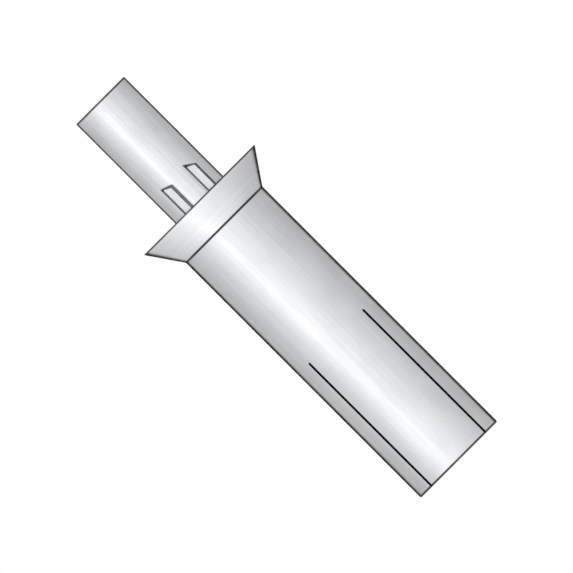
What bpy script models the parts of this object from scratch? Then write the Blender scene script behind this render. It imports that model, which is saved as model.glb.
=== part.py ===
"""Drive pin rivet with a countersunk head and a 1/4 inch shank, as it is before it is set.

It comes apart into two pieces. The body is one cold-formed aluminium piece: a flat head with a conical seat, a
straight shank with a bore down its middle, and prongs that thin slits leave at the blind end. The pin is stainless
steel. It stands out of the head until a hammer drives it flush, and its nose then forces the prongs apart.

The rivet stands on its blind end. Its axis is Z, and the origin is the centre of that end.
"""

import math

import bmesh
import bpy
from mathutils import Matrix, Vector

MM = 0.001

# The outside of the body. Its length is measured over the head, which lies flush in its countersink.
BODY_DIAMETER = 6.35 * MM
BODY_LENGTH = 21.6 * MM
HEAD_DIAMETER = 9.2 * MM
HEAD_ANGLE = math.radians(69)
HEAD_RIM_ROUND = 0.02 * MM
NECK_FILLET = 0.06 * MM
BLIND_END_ROUND = 0.1 * MM

# The inside of the body. The bore takes the pin, and a ramp below it narrows to the pilot hole between the prongs.
MOUTH_ROUND = 0.12 * MM
PILOT_DIAMETER = 1.2 * MM
PIN_CLEARANCE = 0.05 * MM

# The slits that part the prongs. They run from the blind end to a little above the ramp.
SLIT_COUNT = 4
SLIT_WIDTH = 0.18 * MM
SLIT_ABOVE_RAMP = 0.5 * MM
FIRST_SLIT_ANGLE = math.radians(45)

# The pin. It is as long as the body, so that its nose reaches the blind end when it is driven flush. In the round
# bore it can lie at any turn about Z.
PIN_DIAMETER = 3.97 * MM
PIN_STANDOUT = 8.25 * MM
PIN_TURN = math.radians(3.5)
PIN_TOP_ROUND = 0.08 * MM
NOSE_DIAMETER = 2.2 * MM
NOSE_ANGLE = math.radians(60)
NOSE_ROUND = 0.1 * MM

# The pin's grooves, pressed in pairs by two jaws that close along the pin's own Y. Their floors are flat, their ends
# slant, and their walls have draft. The metal that they raise holds the pin in the bore until it is driven.
JAW_COUNT = 2
GROOVE_SPACING = 1.94 * MM
GROOVE_FLOOR_WIDTH = 0.44 * MM
GROOVE_DEPTH = 0.5 * MM
GROOVE_DRAFT = math.radians(15)
GROOVE_STANDOUT = 1.76 * MM
GROOVE_GRIP = 4.5 * MM
GROOVE_END_ANGLE = math.radians(27)

# Round faces have this many sides, and each rounded edge this many steps.
ROUND_SIDES = 96
EDGE_STEPS = 3

body_radius = BODY_DIAMETER / 2
head_radius = HEAD_DIAMETER / 2
pin_radius = PIN_DIAMETER / 2
nose_radius = NOSE_DIAMETER / 2
pilot_radius = PILOT_DIAMETER / 2
bore_radius = pin_radius + PIN_CLEARANCE

neck_height = BODY_LENGTH - (head_radius - body_radius) / math.tan(HEAD_ANGLE / 2)
pin_length = BODY_LENGTH
nose_height = BODY_LENGTH + PIN_STANDOUT - pin_length

# The ramp is parallel to the nose, and the pin's clearance is measured square to both.
ramp_slope = math.tan(NOSE_ANGLE / 2)
ramp_gap = PIN_CLEARANCE / math.sin(NOSE_ANGLE / 2)
ramp_foot = nose_height - ramp_gap - (nose_radius - pilot_radius) / ramp_slope
ramp_top = ramp_foot + (bore_radius - pilot_radius) / ramp_slope
slit_length = ramp_top + SLIT_ABOVE_RAMP


def rounded_corner(before, corner, after, radius):
    """The points of the arc that rounds a profile's corner, or the corner itself where it stays sharp."""
    if not radius:
        return [corner]
    to_before = (before - corner).normalized()
    to_after = (after - corner).normalized()
    half_angle = to_before.angle(to_after) / 2
    centre = corner + (to_before + to_after).normalized() * (radius / math.sin(half_angle))
    tangent_length = radius / math.tan(half_angle)
    spoke = corner + to_before * tangent_length - centre
    sweep = spoke.angle_signed(corner + to_after * tangent_length - centre)
    turns = [-sweep * step / EDGE_STEPS for step in range(EDGE_STEPS + 1)]
    return [centre + Matrix.Rotation(turn, 2) @ spoke for turn in turns]


def new_object(name, mesh):
    """Puts a finished bmesh into the scene as a named object, with its faces pointing out."""
    bmesh.ops.recalc_face_normals(mesh, faces=mesh.faces)
    data = bpy.data.meshes.new(name)
    mesh.to_mesh(data)
    mesh.free()
    data.shade_smooth()
    data.set_sharp_from_angle(angle=math.radians(30))
    made = bpy.data.objects.new(name, data)
    bpy.context.scene.collection.objects.link(made)
    return made


def turned_piece(name, corners):
    """A piece of revolution about Z. Each corner is its radius, its height and the round on its edge.

    Corners on the axis start and end a solid piece, where its flat ends close it. Without them the profile closes
    on itself, and the piece has a hole through it.
    """
    places = [Vector((radius, height)) for radius, height, edge_round in corners]
    profile = []
    for index, (radius, height, edge_round) in enumerate(corners):
        if radius:
            after = places[(index + 1) % len(places)]
            profile += rounded_corner(places[index - 1], places[index], after, edge_round)

    mesh = bmesh.new()
    verts = [mesh.verts.new((point.x, 0, point.y)) for point in profile]
    links = list(zip(verts, verts[1:]))
    is_solid = len(corners) > len([place for place in places if place.x])
    if not is_solid:
        links.append((verts[-1], verts[0]))
    edges = [mesh.edges.new(link) for link in links]
    bmesh.ops.spin(
        mesh,
        geom=verts + edges,
        axis=(0, 0, 1),
        cent=(0, 0, 0),
        angle=math.tau,
        steps=ROUND_SIDES,
        use_merge=True,
    )
    if is_solid:
        bmesh.ops.holes_fill(mesh, edges=mesh.edges)
    return new_object(name, mesh)


def blade(name, start, near_outline, end, far_outline):
    """A cutter between two outlines with as many points, each across X and up Z, at these two places on Y."""
    mesh = bmesh.new()
    edges = []
    for y, outline in ((start, near_outline), (end, far_outline)):
        face = mesh.faces.new([mesh.verts.new((x, y, z)) for x, z in outline])
        edges += face.edges
    bmesh.ops.bridge_loops(mesh, edges=edges)
    cutter = new_object(name, mesh)
    cutter.hide_render = True
    cutter.display_type = "WIRE"
    return cutter


def cut(piece, cutter):
    """Takes a cutter's shape out of a piece, and makes the cutter move with it."""
    cutter.parent = piece
    boolean = piece.modifiers.new(cutter.name, "BOOLEAN")
    boolean.operation = "DIFFERENCE"
    boolean.solver = "EXACT"
    boolean.object = cutter


def metal(name, colour, roughness):
    """A bare metal of this colour."""
    made = bpy.data.materials.new(name)
    made.use_nodes = True
    shader = made.node_tree.nodes["Principled BSDF"]
    shader.inputs["Base Color"].default_value = (*colour, 1)
    shader.inputs["Metallic"].default_value = 1
    shader.inputs["Roughness"].default_value = roughness
    return made


def slit_blade(index):
    """The saw that cuts one slit from the axis outwards. It leaves a round end, which keeps the slit from tearing."""
    half_width = SLIT_WIDTH / 2
    arc_centre = slit_length - half_width
    outline = [(-half_width, -SLIT_WIDTH), (half_width, -SLIT_WIDTH)]
    arc_steps = 2 * EDGE_STEPS
    for step in range(arc_steps + 1):
        angle = math.pi * step / arc_steps
        outline.append((half_width * math.cos(angle), arc_centre + half_width * math.sin(angle)))
    saw = blade(f"slit_blade_{index + 1}", 0, outline, BODY_DIAMETER, outline)
    saw.rotation_euler.z = FIRST_SLIT_ANGLE + math.tau * index / SLIT_COUNT - math.radians(90)
    return saw


def groove_tooth(jaw, side):
    """One tooth of a jaw, which presses the groove on this side of the pin's middle plane.

    Its flat end makes the groove's floor, and it widens by the draft from there.
    """
    middle = side * GROOVE_SPACING / 2
    inner_edge = (GROOVE_SPACING - GROOVE_FLOOR_WIDTH) / 2
    floor = math.sqrt(pin_radius**2 - inner_edge**2) - GROOVE_DEPTH

    def outline(widening):
        half_width = GROOVE_FLOOR_WIDTH / 2 + widening
        end_rise = half_width * math.tan(GROOVE_END_ANGLE)
        top = GROOVE_STANDOUT + widening
        bottom = -GROOVE_GRIP - widening
        return [
            (middle - half_width, top + end_rise),
            (middle - half_width, bottom + end_rise),
            (middle + half_width, bottom - end_rise),
            (middle + half_width, top - end_rise),
        ]

    root_widening = (PIN_DIAMETER - floor) * math.tan(GROOVE_DRAFT)
    name = f"jaw_{jaw + 1}_tooth_{'left' if side < 0 else 'right'}"
    tooth = blade(name, -PIN_DIAMETER, outline(root_widening), -floor, outline(0))
    tooth.location.z = BODY_LENGTH - nose_height
    tooth.rotation_euler.z = math.tau * jaw / JAW_COUNT
    return tooth


def rivet_body():
    """The hollow body, slit from its blind end."""
    body = turned_piece(
        "rivet_body",
        [
            (pilot_radius, 0, 0),
            (body_radius, 0, BLIND_END_ROUND),
            (body_radius, neck_height, NECK_FILLET),
            (head_radius, BODY_LENGTH, HEAD_RIM_ROUND),
            (bore_radius, BODY_LENGTH, MOUTH_ROUND),
            (bore_radius, ramp_top, 0),
            (pilot_radius, ramp_foot, 0),
        ],
    )
    for index in range(SLIT_COUNT):
        cut(body, slit_blade(index))
    body.data.materials.append(metal("cold_formed_aluminium", (0.80, 0.81, 0.82), 0.26))
    return body


def drive_pin():
    """The pin, made upwards from its nose and then set in the bore, with its nose against the ramp."""
    shoulder = (pin_radius - nose_radius) / math.tan(NOSE_ANGLE / 2)
    pin = turned_piece(
        "drive_pin",
        [
            (0, 0, 0),
            (nose_radius, 0, NOSE_ROUND),
            (pin_radius, shoulder, NOSE_ROUND),
            (pin_radius, pin_length, PIN_TOP_ROUND),
            (0, pin_length, 0),
        ],
    )
    for jaw in range(JAW_COUNT):
        for side in (-1, 1):
            cut(pin, groove_tooth(jaw, side))
    pin.location.z = nose_height
    pin.rotation_euler.z = PIN_TURN
    pin.data.materials.append(metal("stainless_steel", (0.78, 0.79, 0.80), 0.24))
    return pin


for left_over in list(bpy.data.objects):
    bpy.data.objects.remove(left_over)

rivet = bpy.data.objects.new("rivet", None)
bpy.context.scene.collection.objects.link(rivet)
for piece in (rivet_body(), drive_pin()):
    piece.parent = rivet
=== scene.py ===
"""The looks of a drive pin rivet: a slit aluminium body with a countersunk head, and its steel pin."""

import math

import bmesh
import bpy
from mathutils import Matrix, Vector


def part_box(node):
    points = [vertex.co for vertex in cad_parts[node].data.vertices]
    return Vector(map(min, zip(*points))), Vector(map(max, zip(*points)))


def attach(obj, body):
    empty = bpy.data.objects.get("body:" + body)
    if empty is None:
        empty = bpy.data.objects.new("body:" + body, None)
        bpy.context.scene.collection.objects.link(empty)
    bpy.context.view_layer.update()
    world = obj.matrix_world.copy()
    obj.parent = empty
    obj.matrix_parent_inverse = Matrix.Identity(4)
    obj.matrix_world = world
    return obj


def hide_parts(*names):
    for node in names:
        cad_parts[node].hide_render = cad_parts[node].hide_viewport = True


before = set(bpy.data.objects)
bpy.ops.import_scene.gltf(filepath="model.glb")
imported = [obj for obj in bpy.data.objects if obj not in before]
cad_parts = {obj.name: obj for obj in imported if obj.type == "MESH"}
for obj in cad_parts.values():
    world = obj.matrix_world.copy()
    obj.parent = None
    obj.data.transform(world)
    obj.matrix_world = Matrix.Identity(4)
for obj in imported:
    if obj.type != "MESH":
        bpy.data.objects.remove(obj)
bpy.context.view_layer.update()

# The rivet's body, one piece of aluminium, cold-headed from drawn wire. A die forms the cone under the flat
# head, a punch opens the bore and its ramp, and thin saws part the blind end into four prongs.

MM = 0.001
body_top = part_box("rivet_body")[1].z
head_radius = 4.6 * MM
head_angle = math.radians(69)
cone_slope = math.tan(head_angle / 2)
shank_radius = 3.175 * MM
neck_height = body_top - (head_radius - shank_radius) / cone_slope
neck_fillet = 0.06 * MM
end_round = 0.1 * MM
bore_radius = 2.035 * MM
mouth_round = 0.12 * MM
pilot_radius = 0.6 * MM
ramp_top = 9.77 * MM
ramp_foot = 7.28 * MM
slit_length = 10.27 * MM
slit_half_width = 0.09 * MM
slit_shoulder = slit_length - slit_half_width
slit_angles = [math.radians(45 + 90 * turn) for turn in range(4)]
saw_edge_break = 0.02 * MM

# The rim's round is a hair larger than the solid's, which keeps the finer mesh inside its box.
rim_round = 0.021 * MM

# A line of flash stands round the rim, where the punch met the die, and the blade that cropped the blind
# end dragged a band round it. Both are cut metal, duller than the rest and painted dark grey as painted
# shade, which draws dark lines at the rim and round the blind end. A grey line of painted shade lies in
# the crease under the head, dark up to crease_shade_core from its middle and gone at crease_shade_edge.
# All are drawn as wide as they need to be to show.
flash_height = 0.1 * MM
cut_shade_band = 0.13 * MM
crease_shade_core = 0.035 * MM
crease_shade_edge = 0.1 * MM
crease_shade_grey = "#38393B"

# The mesh has BODY_STEPS columns round the body, SLIT_STEPS across each slit and ARC_STEPS on each round. A
# ring of edges at roof_room above the slits' shoulders leaves room for their round ends.
BODY_STEPS = 256
SLIT_STEPS = 6
ARC_STEPS = 6
roof_room = 0.3 * MM
same_height = 0.001 * MM
sharp_angle = math.radians(35)


def rounded_corner(before, corner, after, edge_round):
    """The points that round a profile's corner, or the corner itself where it stays sharp."""
    if not edge_round:
        return [corner]
    to_before = (before - corner).normalized()
    to_after = (after - corner).normalized()
    half_angle = to_before.angle(to_after) / 2
    centre = corner + (to_before + to_after).normalized() * (edge_round / math.sin(half_angle))
    tangent_length = edge_round / math.tan(half_angle)
    spoke = corner + to_before * tangent_length - centre
    sweep = spoke.angle_signed(corner + to_after * tangent_length - centre)
    turns = [-sweep * step / ARC_STEPS for step in range(ARC_STEPS + 1)]
    return [centre + Matrix.Rotation(turn, 2) @ spoke for turn in turns]


def turned_mesh(corners, steps, is_ring):
    """Spins a profile about Z. Each corner is its radius, its height and the round on its edge.

    The profile of a ring closes on itself. Any other starts and ends on the axis, and flat ends close it.
    """
    places = [Vector((radius, height)) for radius, height, edge_round in corners]
    points = []
    for index, (radius, height, edge_round) in enumerate(corners):
        if radius:
            after = places[(index + 1) % len(places)]
            points += rounded_corner(places[index - 1], places[index], after, edge_round)
    mesh = bmesh.new()
    verts = [mesh.verts.new((point.x, 0, point.y)) for point in points]
    links = list(zip(verts, verts[1:]))
    if is_ring:
        links.append((verts[-1], verts[0]))
    edges = [mesh.edges.new(link) for link in links]
    bmesh.ops.spin(
        mesh,
        geom=verts + edges,
        axis=(0, 0, 1),
        cent=(0, 0, 0),
        angle=math.tau,
        steps=steps,
        use_merge=True,
    )
    if not is_ring:
        bmesh.ops.holes_fill(mesh, edges=mesh.edges)
    bmesh.ops.recalc_face_normals(mesh, faces=mesh.faces)
    return mesh


def finished_piece(name, mesh, materials):
    """Makes a bmesh a piece with these materials, shaded smooth up to its sharp edges."""
    bmesh.ops.recalc_face_normals(mesh, faces=mesh.faces)
    data = bpy.data.meshes.new(name)
    mesh.to_mesh(data)
    mesh.free()
    data.shade_smooth()
    data.set_sharp_from_angle(angle=sharp_angle)
    for material in materials:
        data.materials.append(material)
    piece = bpy.data.objects.new(name, data)
    bpy.context.scene.collection.objects.link(piece)
    shading = piece.modifiers.new("long faces keep their shade", "WEIGHTED_NORMAL")
    shading.keep_sharp = True
    return piece


def off_slit(place):
    """How far a place is off the middle plane of the nearest slit, and which slit that is."""
    angle = math.atan2(place.y, place.x)
    slit_angle = min(slit_angles, key=lambda each: abs(math.remainder(angle - each, math.tau)))
    return place.y * math.cos(slit_angle) - place.x * math.sin(slit_angle), slit_angle


def crowd_columns(mesh):
    """Slides the columns round the body until SLIT_STEPS of them span each slit, from wall to wall."""
    column_gap = math.tau / BODY_STEPS
    edge_angle = column_gap * SLIT_STEPS / 2
    sector = math.pi / len(slit_angles)
    for vert in mesh.verts:
        radius = vert.co.xy.length
        slit_angle = off_slit(vert.co)[1]
        gap = math.remainder(math.atan2(vert.co.y, vert.co.x) - slit_angle, math.tau)
        wall_angle = math.asin(slit_half_width / radius)
        if abs(gap) < edge_angle + column_gap / 2:
            gap = math.asin(slit_half_width * gap / edge_angle / radius)
        else:
            share = (abs(gap) - edge_angle) / (sector - edge_angle)
            gap = math.copysign(wall_angle + share * (sector - wall_angle), gap)
        vert.co.x = radius * math.cos(slit_angle + gap)
        vert.co.y = radius * math.sin(slit_angle + gap)


DRAWN, DIE_FORMED, CUT_SHADED = range(3)
body = turned_mesh(
    [
        (pilot_radius, 0, 0),
        (shank_radius, 0, end_round),
        (shank_radius, cut_shade_band, 0),
        (shank_radius, slit_shoulder, 0),
        (shank_radius, slit_shoulder + roof_room, 0),
        (shank_radius, neck_height, neck_fillet),
        (head_radius - flash_height * cone_slope, body_top - flash_height, 0),
        (head_radius, body_top, rim_round),
        (bore_radius, body_top, mouth_round),
        (bore_radius, slit_shoulder, 0),
        (bore_radius, ramp_top, 0),
        (pilot_radius, ramp_foot, 0),
    ],
    BODY_STEPS,
    is_ring=True,
)
crowd_columns(body)

# Each saw runs out from the pilot hole, so it takes the faces between its walls and leaves a round roof.
# The edges that it leaves on the outside are broken.
sawn_away = []
for face in body.faces:
    middle = face.calc_center_median()
    if abs(off_slit(middle)[0]) < slit_half_width and middle.z < slit_shoulder:
        sawn_away.append(face)
bmesh.ops.delete(body, geom=sawn_away, context="FACES")
roof_edges = {angle: [] for angle in slit_angles}
for edge in body.edges:
    middle = (edge.verts[0].co + edge.verts[1].co) / 2
    is_level = abs(edge.verts[0].co.z - edge.verts[1].co.z) < same_height
    if edge.is_boundary and is_level and middle.z > ramp_top:
        roof_edges[off_slit(middle)[1]].append(edge)
for edges in roof_edges.values():
    for vert in {vert for edge in edges for vert in edge.verts}:
        off = min(abs(off_slit(vert.co)[0]), slit_half_width)
        vert.co.z += math.sqrt(slit_half_width**2 - off**2)
    roof = bmesh.ops.bridge_loops(body, edges=edges)
    for face in roof["faces"]:
        face.material_index = CUT_SHADED
# The slits' roofs and walls take the cut metal, whose dark grey is painted shade inside the slits.
walls = bmesh.ops.holes_fill(body, edges=[edge for edge in body.edges if edge.is_boundary])
for face in walls["faces"]:
    face.material_index = CUT_SHADED
slit_rims = []
for edge in body.edges:
    kinds = {face.material_index for face in edge.link_faces}
    is_outside = min(vert.co.xy.length for vert in edge.verts) > (bore_radius + shank_radius) / 2
    if kinds == {DRAWN, CUT_SHADED} and is_outside:
        slit_rims.append(edge)
bmesh.ops.bevel(
    body,
    geom=slit_rims,
    offset=saw_edge_break,
    offset_type="OFFSET",
    affect="EDGES",
    segments=2,
    profile=0.5,
    material=-1,
    clamp_overlap=True,
)

# The die formed all that lies above the neck, but for the bore. The flash and the blind end are cut metal,
# duller and painted dark grey as painted shade, which draws dark lines at the rim and round the blind end.
for face in body.faces:
    middle = face.calc_center_median()
    is_flash = body_top - flash_height < middle.z < body_top and middle.xy.length > shank_radius
    is_blind_end = middle.z < cut_shade_band and middle.xy.length > pilot_radius
    if is_flash or is_blind_end:
        face.material_index = CUT_SHADED
    elif middle.z > neck_height and middle.xy.length > bore_radius:
        face.material_index = DIE_FORMED


def srgb(hex_code):
    """A linear colour from its sRGB hex value."""
    channels = [int(hex_code[place : place + 2], 16) / 255 for place in (1, 3, 5)]
    return [each / 12.92 if each <= 0.04045 else ((each + 0.055) / 1.055) ** 2.4 for each in channels] + [1]


def add_node(tree, kind, inputs=(), **settings):
    """Adds a node with these settings. Each input is given a value, or the socket that feeds it."""
    made = tree.nodes.new(kind)
    for name, value in settings.items():
        setattr(made, name, value)
    for name, value in dict(inputs).items():
        if isinstance(value, bpy.types.NodeSocket):
            tree.links.new(value, made.inputs[name])
        else:
            made.inputs[name].default_value = value
    return made


def worked_metal(name, bright, dull, roughness, lay, mark_height, crease=None):
    """A bare metal with tool marks, whose height is in metres.

    lay is how many marks there are to a millimetre across X, Y and Z, or one number for rings round Z. Where
    there is a crease, which is given as its height, a grey line of painted shade darkens it.
    """
    material = bpy.data.materials.new(name)
    material.use_nodes = True
    tree = material.node_tree
    shader = tree.nodes["Principled BSDF"]
    shader.inputs["Metallic"].default_value = 1
    place = add_node(tree, "ShaderNodeTexCoord").outputs["Object"]
    per_mm = (1 / MM, 1 / MM, 1 / MM)
    in_mm = add_node(tree, "ShaderNodeMapping", {"Vector": place, "Scale": per_mm}).outputs["Vector"]
    apart = add_node(tree, "ShaderNodeSeparateXYZ", {"Vector": in_mm}).outputs
    if isinstance(lay, tuple):
        marks_place = add_node(tree, "ShaderNodeMapping", {"Vector": in_mm, "Scale": lay}).outputs["Vector"]
    else:
        level = add_node(
            tree, "ShaderNodeCombineXYZ", {"X": apart["X"], "Y": apart["Y"]}
        ).outputs["Vector"]
        radius = add_node(tree, "ShaderNodeVectorMath", {0: level}, operation="LENGTH").outputs["Value"]
        across = add_node(tree, "ShaderNodeMath", {0: radius, 1: lay}, operation="MULTIPLY").outputs["Value"]
        marks_place = add_node(tree, "ShaderNodeCombineXYZ", {"X": across}).outputs["Vector"]
    marks = add_node(
        tree, "ShaderNodeTexNoise", {"Vector": marks_place, "Scale": 1, "Detail": 2, "Roughness": 0.5}
    ).outputs["Fac"]
    clouds = add_node(
        tree, "ShaderNodeTexNoise", {"Vector": in_mm, "Scale": 0.5, "Detail": 4, "Roughness": 0.55}
    ).outputs["Fac"]
    both = add_node(tree, "ShaderNodeMath", {0: marks, 1: clouds}, operation="ADD").outputs["Value"]
    clean = add_node(
        tree,
        "ShaderNodeMapRange",
        {"Value": both, "From Min": 0.75, "From Max": 1.25},
        interpolation_type="SMOOTHSTEP",
    ).outputs["Result"]
    tone = add_node(
        tree, "ShaderNodeMix", {0: clean, 6: srgb(dull), 7: srgb(bright)}, data_type="RGBA"
    ).outputs[2]
    # Painted shade: a grey line darkens the crease.
    if crease:
        offset = add_node(
            tree, "ShaderNodeMath", {0: apart["Z"], 1: crease / MM}, operation="SUBTRACT"
        ).outputs["Value"]
        away = add_node(tree, "ShaderNodeMath", {0: offset}, operation="ABSOLUTE").outputs["Value"]
        unshaded = add_node(
            tree,
            "ShaderNodeMapRange",
            {"Value": away, "From Min": crease_shade_core / MM, "From Max": crease_shade_edge / MM},
            interpolation_type="SMOOTHSTEP",
        ).outputs["Result"]
        tone = add_node(
            tree, "ShaderNodeMix", {0: unshaded, 6: srgb(crease_shade_grey), 7: tone}, data_type="RGBA"
        ).outputs[2]
    tree.links.new(tone, shader.inputs["Base Color"])
    worn = add_node(
        tree,
        "ShaderNodeMapRange",
        {
            "Value": both,
            "From Min": 0.7,
            "From Max": 1.3,
            "To Min": roughness + 0.05,
            "To Max": roughness - 0.04,
        },
    ).outputs["Result"]
    tree.links.new(worn, shader.inputs["Roughness"])
    relief = add_node(tree, "ShaderNodeBump", {"Strength": 1, "Distance": mark_height, "Height": marks})
    tree.links.new(relief.outputs["Normal"], shader.inputs["Normal"])
    return material


# The metal of the body: bare aluminium, as it leaves the header. To the eye it is a soft bright mirror with
# faint clouds. Drawing the wire left fine lines along the shank, the die left rings on the cone and the
# flat face, and the cut metal has the saws' level lines. The cut metal is duller, and painted dark grey as
# painted shade in the slits and along the rim and the blind end. The die-formed metal is painted a little
# lighter than the drawn shank, as painted light on the cone. The real marks are a few hundredths of a
# millimetre apart, too fine to show. They are drawn 0.13 to 0.2 mm apart, as coarse as they need to be.
body_piece = finished_piece(
    "slit_body",
    body,
    [
        worked_metal(
            "drawn_aluminium",
            bright="#E9EAEB",
            dull="#E1E2E4",
            roughness=0.2,
            lay=(7, 7, 0.2),
            mark_height=0.0004 * MM,
            crease=neck_height,
        ),
        # Its tone is a little lighter than the drawn shank's, as painted light on the cone.
        worked_metal(
            "die_formed_aluminium_painted_lighter",
            bright="#EEEFF0",
            dull="#E7E8EA",
            roughness=0.2,
            lay=5,
            mark_height=0.0003 * MM,
            crease=neck_height,
        ),
        worked_metal(
            "cut_aluminium_painted_dark",
            bright="#6E6F72",
            dull="#515255",
            roughness=0.42,
            lay=(1, 1, 8),
            mark_height=0.003 * MM,
        ),
    ],
)
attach(body_piece, "root")
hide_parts("rivet_body")

# The drive pin, stainless steel wire that is cropped to length and tumbled. Two jaws press its four
# grooves, and the metal that they raise beside them bites the bore and holds the pin up until a hammer
# drives it flush.

pin_radius = 1.985 * MM
pin_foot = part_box("drive_pin")[0].z
pin_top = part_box("drive_pin")[1].z
pin_turn = math.radians(3.5)
top_round = 0.08 * MM
nose_radius = 1.1 * MM
nose_angle = math.radians(60)
nose_round = 0.1 * MM
nose_shoulder = pin_foot + (pin_radius - nose_radius) / math.tan(nose_angle / 2)

# Each groove has a flat floor with slanted ends, between walls with draft. groove_middle is how far it lies
# beside the pin's axis, and groove_floor how far its floor lies from the pin's middle plane. The walls rise
# by wall_slope for each millimetre that they lean out, and press_round rounds the edge where they end.
groove_middle = 0.97 * MM
groove_half_floor = 0.22 * MM
groove_depth = 0.5 * MM
groove_floor = math.sqrt(pin_radius**2 - (groove_middle - groove_half_floor) ** 2) - groove_depth
groove_standout = 1.76 * MM
groove_grip = 4.5 * MM
groove_top = body_top + groove_standout
groove_bottom = body_top - groove_grip
end_angle = math.radians(27)
end_slope = math.tan(end_angle)
draft = math.radians(15)
wall_slope = 1 / math.tan(draft)
lip_height = 0.025 * MM
lip_reach = 0.07 * MM
press_round = 0.02 * MM

# The jaws scuff the wire at least scuffed_shade_side past the sides of a groove's floor, and
# scuffed_shade_end past the lips at its ends. The shear scuffs a band round the struck end. The scuffs are
# painted dark grey, as painted shade on the grooves' walls and round the struck end's edge. All are drawn as
# wide as they need to be.
scuffed_shade_side = 0.12 * MM
scuffed_shade_end = 0.04 * MM
crop_shade_band = 0.12 * MM

# The mesh has PIN_STEPS columns round the pin, and rows of edges at end_rows past the ends of the grooves'
# floors. The rows up to row_band are spread over an end's wall, or over least_reach where that is more. All
# slant with the end near a groove. The slant fades over fade_length, and it is gone at fade_end from the
# groove's middle.
PIN_STEPS = 512
row_gap = 0.02 * MM
end_rows = [step * row_gap for step in (-4, -2, -1, 0, 1, 2, 3, 4, 5, 6, 7, 8, 9, 10, 11, 12, 14, 17)]
row_band = 0.12 * MM
least_reach = 0.055 * MM
fade_length = 0.4 * MM
fade_end = 0.9 * MM


def off_groove(place):
    """How far a place on the wire's side is right of the nearest groove's middle, facing the groove."""
    across = place.x if place.y < 0 else -place.x
    return across - math.copysign(groove_middle, across)


def wall_reach(wire):
    """How far past the floor's edge a wall meets its lip, where the wire is this far off the middle."""
    return (wire + lip_height - groove_floor) / wall_slope


def row_reach(wire):
    """How far past the floor's end the row on its lip lies."""
    return max(wall_reach(wire), least_reach)


def past_floor(place):
    """How far a place on the wire's side is past the sides and the ends of the nearest groove's floor."""
    off = off_groove(place)
    past_top = place.z + off * end_slope - groove_top
    past_bottom = groove_bottom - place.z - off * end_slope
    return abs(off) - groove_half_floor, max(past_top, past_bottom)


def pressed_depth(place):
    """How far in from the cylinder the jaws have moved the wire at this place on its side, in metres."""
    past_side, past_end = past_floor(place)
    outside = max(past_side, past_end)
    if outside > 0:
        outside = math.hypot(max(past_side, 0), max(past_end, 0))
    wire = abs(place.y)
    lip = lip_height * math.exp(-(((outside - wall_reach(wire)) / lip_reach) ** 2))
    wall = groove_floor + max(outside, 0) * wall_slope
    surface = wire + lip
    overlap = max(press_round - abs(surface - wall), 0) / press_round
    return wire - (min(surface, wall) - overlap**2 * press_round / 4)


pin = turned_mesh(
    [
        (0, pin_foot, 0),
        (nose_radius, pin_foot, nose_round),
        (pin_radius, nose_shoulder, nose_round),
        *[(pin_radius, groove_bottom - past, 0) for past in reversed(end_rows)],
        *[(pin_radius, groove_top + past, 0) for past in end_rows],
        (pin_radius, pin_top - crop_shade_band, 0),
        (pin_radius, pin_top, top_round),
        (0, pin_top, 0),
    ],
    PIN_STEPS,
    is_ring=False,
)

# The rows past a groove's ends spread until the last of row_band lies on the lip, and the jaws then press
# the front and back of the wire, between heights that are well past the rows.
rows_end = 2 * end_rows[-1]
for vert in pin.verts:
    is_by_grooves = groove_bottom - rows_end < vert.co.z < groove_top + rows_end
    if is_by_grooves and abs(vert.co.y) > pin_radius / 2:
        off = off_groove(vert.co)
        nearness = min(max((fade_end - abs(off)) / fade_length, 0), 1)
        wall = row_reach(abs(vert.co.y)) * nearness + row_band * (1 - nearness)
        for end, way in ((groove_top, 1), (groove_bottom, -1)):
            past = (vert.co.z - end) * way
            if past > 0:
                vert.co.z = end + way * (min(past / row_band, 1) * wall + max(past - row_band, 0))
        vert.co.z -= off * end_slope * nearness
        vert.co.y -= math.copysign(pressed_depth(vert.co), vert.co.y)
pin.normal_update()

# The scuffed metal's dark grey is painted shade on the grooves' walls and round the struck end's edge.
DRAWN_WIRE, PRESSED, SCUFFED_SHADED, CROPPED = range(4)
for face in pin.faces:
    middle = face.calc_center_median()
    wire = math.sqrt(max(pin_radius**2 - middle.x**2, 0))
    past_side, past_end = past_floor(middle)
    is_end = abs(face.normal.z) > 0.99
    is_floor = max(past_side, past_end) < 0 and abs(face.normal.y) > 0.8
    is_by_side = past_side < max(wall_reach(wire), scuffed_shade_side)
    is_scuffed_shade = is_by_side and past_end < row_reach(wire) + scuffed_shade_end
    if is_end:
        face.material_index = CROPPED
    elif is_floor:
        face.material_index = PRESSED
    elif is_scuffed_shade or middle.z > pin_top - crop_shade_band:
        face.material_index = SCUFFED_SHADED
    else:
        face.material_index = DRAWN_WIRE
bmesh.ops.rotate(pin, verts=pin.verts, cent=(0, 0, 0), matrix=Matrix.Rotation(pin_turn, 3, "Z"))

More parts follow.
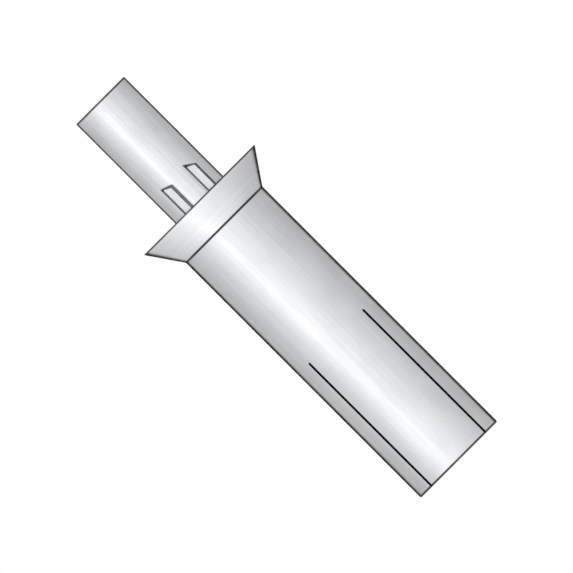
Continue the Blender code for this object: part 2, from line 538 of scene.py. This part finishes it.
# The metal of the pin: bare stainless steel, to the eye nearly the same soft bright mirror as the body.
# Drawing left fine lines along the wire. The jaws left the grooves' floors satin and their walls scuffed,
# and the shear left the struck end matt, with short lines across it. The scuffed walls and the band round
# the struck end are painted dark grey, as painted shade. The real marks are hundredths of a millimetre
# apart.
# They are drawn 0.13 to 0.3 mm apart, as coarse as they need to be.
pin_piece = finished_piece(
    "grooved_pin",
    pin,
    [
        worked_metal(
            "drawn_stainless_steel",
            bright="#E9EAEB",
            dull="#E0E1E3",
            roughness=0.2,
            lay=(8, 8, 0.2),
            mark_height=0.0005 * MM,
        ),
        worked_metal(
            "pressed_stainless_steel",
            bright="#E9EAEB",
            dull="#DEDFE1",
            roughness=0.28,
            lay=(3, 3, 1),
            mark_height=0.0005 * MM,
        ),
        worked_metal(
            "scuffed_stainless_steel_painted_dark",
            bright="#727376",
            dull="#5A5B5E",
            roughness=0.36,
            lay=(4, 4, 4),
            mark_height=0.001 * MM,
        ),
        worked_metal(
            "cropped_stainless_steel",
            bright="#DCDDDE",
            dull="#C4C5C7",
            roughness=0.36,
            lay=(5, 1, 1),
            mark_height=0.002 * MM,
        ),
    ],
)
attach(pin_piece, "root")
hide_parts("drive_pin")

# The floor, a board painted matt white, which takes the rivet's soft shadow. It is 4 m wide, so that it
# fills a view from just above it, and the metal doesn't mirror it.

floor_radius = 2


def stage_piece(name, mesh, material):
    """Makes a bmesh part of the studio."""
    data = bpy.data.meshes.new(name)
    mesh.to_mesh(data)
    mesh.free()
    data.materials.append(material)
    piece = bpy.data.objects.new(name, data)
    bpy.context.scene.collection.objects.link(piece)
    return piece


board = bpy.data.materials.new("matt_white_board")
board.use_nodes = True
board.node_tree.nodes["Principled BSDF"].inputs["Base Color"].default_value = srgb("#ECECEC")
board.node_tree.nodes["Principled BSDF"].inputs["Roughness"].default_value = 0.9
floor = bmesh.new()
bmesh.ops.create_circle(floor, cap_ends=True, radius=floor_radius, segments=96)
floor_piece = stage_piece("floor", floor, board)
floor_piece.visible_glossy = False

# The light tent, a ball of white cloth round the rivet, lit most from the front left. The metal mirrors it,
# and the camera looks in through it. It draws the metal's soft stripes and its dark outline.

tent_radius = 1

# Each step is an angle, in degrees from the front to the right, and how bright the cloth is there. The
# angle is taken at the tent's back, because a side of the rivet that faces this far to the right mirrors
# the cloth at twice its own angle round the rivet, and so at its own angle from the tent's back. The cloth
# behind the rivet is black, and the metal mirrors it in narrow strips at its sides, which draw its outline
# on the white.
TENT_STEPS = [
    (-90, 0),
    (-74, 0),
    (-71.5, 0.57),
    (-58, 0.62),
    (-47, 0.71),
    (-31, 0.9),
    (-20, 1.13),
    (-13.5, 1.32),
    (-6, 1.17),
    (3, 1.07),
    (15, 0.92),
    (29, 0.79),
    (45, 0.66),
    (55, 0.6),
    (70.5, 0.56),
    (73.5, 0),
    (90, 0),
]
cloth = bpy.data.materials.new("lit_tent_cloth")
cloth.use_nodes = True
tree = cloth.node_tree
tree.nodes.clear()
place = add_node(tree, "ShaderNodeTexCoord").outputs["Object"]
apart = add_node(tree, "ShaderNodeSeparateXYZ", {"Vector": place}).outputs
ahead = add_node(
    tree, "ShaderNodeMath", {0: tent_radius, 1: apart["Y"]}, operation="SUBTRACT"
).outputs["Value"]
turn = add_node(tree, "ShaderNodeMath", {0: apart["X"], 1: ahead}, operation="ARCTAN2").outputs["Value"]
share = add_node(
    tree, "ShaderNodeMapRange", {"Value": turn, "From Min": -math.pi / 2, "From Max": math.pi / 2}
).outputs["Result"]
ramp = add_node(tree, "ShaderNodeValToRGB", {"Fac": share})
stops = ramp.color_ramp
stops.elements.remove(stops.elements[1])
for index, (degrees, brightness) in enumerate(TENT_STEPS):
    position = degrees / 180 + 0.5
    stop = stops.elements[0] if index == 0 else stops.elements.new(position)
    stop.position = position
    stop.color = (brightness, brightness, brightness, 1)

# The cloth is dimmer overhead and far below, and a little brighter low on the left, as from a bounce card.
# The rise is the slope at which a place on the cloth is seen from the tent's back.
level = add_node(tree, "ShaderNodeCombineXYZ", {"X": apart["X"], "Y": ahead}).outputs["Vector"]
away = add_node(tree, "ShaderNodeVectorMath", {0: level}, operation="LENGTH").outputs["Value"]
rise = add_node(tree, "ShaderNodeMath", {0: apart["Z"], 1: away}, operation="DIVIDE").outputs["Value"]
overhead = add_node(
    tree,
    "ShaderNodeMapRange",
    {"Value": rise, "From Min": 0.45, "From Max": 0.75, "To Min": 1, "To Max": 0.5},
    interpolation_type="SMOOTHSTEP",
).outputs["Result"]
below = add_node(
    tree,
    "ShaderNodeMapRange",
    {"Value": rise, "From Min": -1.05, "From Max": -1.5, "To Min": 1, "To Max": 0.2},
    interpolation_type="SMOOTHSTEP",
).outputs["Result"]
dimmed = add_node(tree, "ShaderNodeMath", {0: overhead, 1: below}, operation="MINIMUM").outputs["Value"]
low = add_node(
    tree, "ShaderNodeMapRange", {"Value": rise, "From Min": -0.35, "From Max": -0.6, "To Max": 0.16}
).outputs["Result"]
left = add_node(
    tree,
    "ShaderNodeMapRange",
    {"Value": turn, "From Min": math.radians(-20), "From Max": math.radians(-55)},
).outputs["Result"]
bounce = add_node(tree, "ShaderNodeMath", {0: low, 1: left, 2: 1}, operation="MULTIPLY_ADD").outputs["Value"]
strength = add_node(tree, "ShaderNodeMath", {0: dimmed, 1: bounce}, operation="MULTIPLY").outputs["Value"]
glow = add_node(
    tree, "ShaderNodeEmission", {"Color": ramp.outputs["Color"], "Strength": strength}
).outputs["Emission"]
add_node(tree, "ShaderNodeOutputMaterial", {"Surface": glow})
tent = bmesh.new()
bmesh.ops.create_uvsphere(tent, u_segments=64, v_segments=32, radius=tent_radius)
tent_piece = stage_piece("light_tent", tent, cloth)
tent_piece.visible_camera = False
tent_piece.visible_diffuse = False
tent_piece.visible_shadow = False

# The key light, a softbox at the front left, above the rivet. It stands far off and is large, so that it
# lights the floor evenly and casts a soft shadow. The metal mirrors the tent, and not this lamp.

key_place = Vector((-0.9, -1.05, 1.35))
softbox = bpy.data.lights.new("key_softbox", "AREA")
softbox.size = 0.9
softbox.energy = 19.8
key = bpy.data.objects.new("key_softbox", softbox)
key.location = key_place
key.rotation_euler = (-key_place).to_track_quat("-Z", "Y").to_euler()
key.visible_camera = False
key.visible_glossy = False
bpy.context.scene.collection.objects.link(key)

# The world is the plain white of paper behind the rivet, to the camera and in mirrors. It lights the floor
# as a slightly weaker fill.

world = bpy.data.worlds.new("white_paper")
world.use_nodes = True
bpy.context.scene.world = world
tree = world.node_tree
tree.nodes.clear()
white = srgb("#FFFFFF")
rays = add_node(tree, "ShaderNodeLightPath").outputs
seen = add_node(
    tree, "ShaderNodeMath", {0: rays["Is Camera Ray"], 1: rays["Is Glossy Ray"]}, operation="MAXIMUM"
).outputs["Value"]
seen = add_node(
    tree, "ShaderNodeMath", {0: seen, 1: rays["Is Transmission Ray"]}, operation="MAXIMUM"
).outputs["Value"]
fill = add_node(tree, "ShaderNodeBackground", {"Color": white, "Strength": 0.8}).outputs["Background"]
paper = add_node(tree, "ShaderNodeBackground", {"Color": white, "Strength": 1}).outputs["Background"]
light = add_node(tree, "ShaderNodeMixShader", {0: seen, 1: fill, 2: paper}).outputs["Shader"]
add_node(tree, "ShaderNodeOutputWorld", {"Surface": light})

# The camera looks level at the rivet's side, without perspective, and is rolled until the rivet lies at 45
# degrees with its pin to the upper left. The picture is 573 pixels wide, and each shows 0.05875 mm.

PICTURE_WIDTH = 573
pixel = 0.05875 * MM
camera_place = Vector((0.021 * MM, -0.5, 14.37 * MM))
camera_data = bpy.data.cameras.new("camera")
camera_data.type = "ORTHO"
camera_data.ortho_scale = PICTURE_WIDTH * pixel
camera_data.clip_start = 0.01
camera_data.clip_end = 10
camera = bpy.data.objects.new("camera", camera_data)
right = Vector((1, 0, -1)).normalized()
up = Vector((1, 0, 1)).normalized()
back = Vector((0, -1, 0))
turned = Matrix((right, up, back)).transposed().to_4x4()
camera.matrix_world = Matrix.Translation(camera_place) @ turned
bpy.context.scene.collection.objects.link(camera)
bpy.context.scene.camera = camera
bpy.context.scene.view_settings.view_transform = "Standard"
